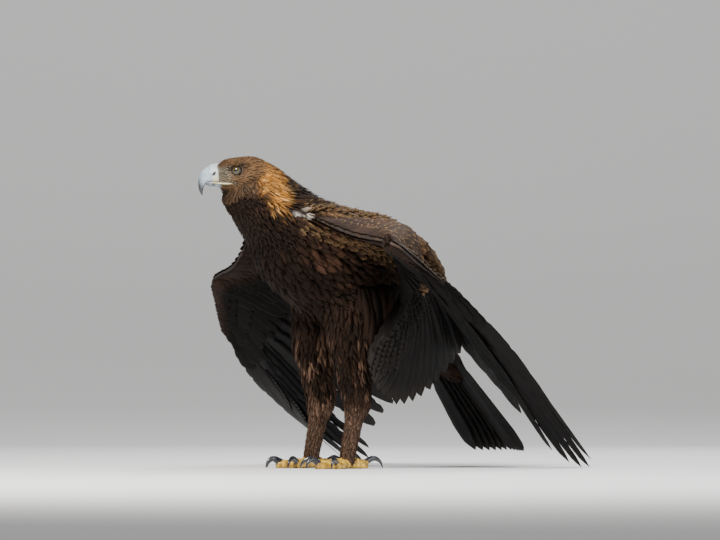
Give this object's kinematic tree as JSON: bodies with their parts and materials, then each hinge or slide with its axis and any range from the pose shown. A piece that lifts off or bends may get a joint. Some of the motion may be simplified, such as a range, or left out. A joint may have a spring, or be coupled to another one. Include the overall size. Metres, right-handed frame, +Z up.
{
  "type": "golden eagle",
  "caption": "Still life-size golden eagle standing with both wings half open and drooped, head turned to its right.",
  "frame": {"origin": "on the floor under the middle of the whole outline", "axes": "+Z up, the bird's trunk faces -Y, its left side is +X"},
  "size_m": [0.8164, 0.6449, 0.5207],
  "materials": {
    "contour_feathers": "soft overlapping feathers",
    "nape_feathers": "narrow pointed feathers",
    "flight_feathers": "stiff vanes with a slight sheen",
    "horn": "polished keratin",
    "cere_skin": "bare waxy skin",
    "eye": "wet and clear",
    "foot_skin": "scaled bare skin",
    "talon": "polished keratin"
  },
  "bodies": {
    "root": {"eye_left": "eye", "eye_right": "eye", "bill_upper": "horn", "bill_lower": "horn", "cere": "cere_skin", "head": "contour_feathers", "neck": "nape_feathers", "trunk": "contour_feathers", "mantle_left": "contour_feathers", "mantle_right": "contour_feathers", "thigh_left": "contour_feathers", "thigh_right": "contour_feathers", "tarsus_left": "contour_feathers", "tarsus_right": "contour_feathers", "foot_left": "foot_skin", "foot_right": "foot_skin", "claw_inner_left": "talon", "claw_middle_left": "talon", "claw_outer_left": "talon", "claw_hind_left": "talon", "claw_inner_right": "talon", "claw_middle_right": "talon", "claw_outer_right": "talon", "claw_hind_right": "talon", "tail": "flight_feathers", "wing_left_arm": "contour_feathers", "wing_left_hand": "contour_feathers", "wing_left_secondaries": "flight_feathers", "wing_left_primaries": "flight_feathers", "wing_right_arm": "contour_feathers", "wing_right_hand": "contour_feathers", "wing_right_secondaries": "flight_feathers", "wing_right_primaries": "flight_feathers"}
  },
  "joints": []
}
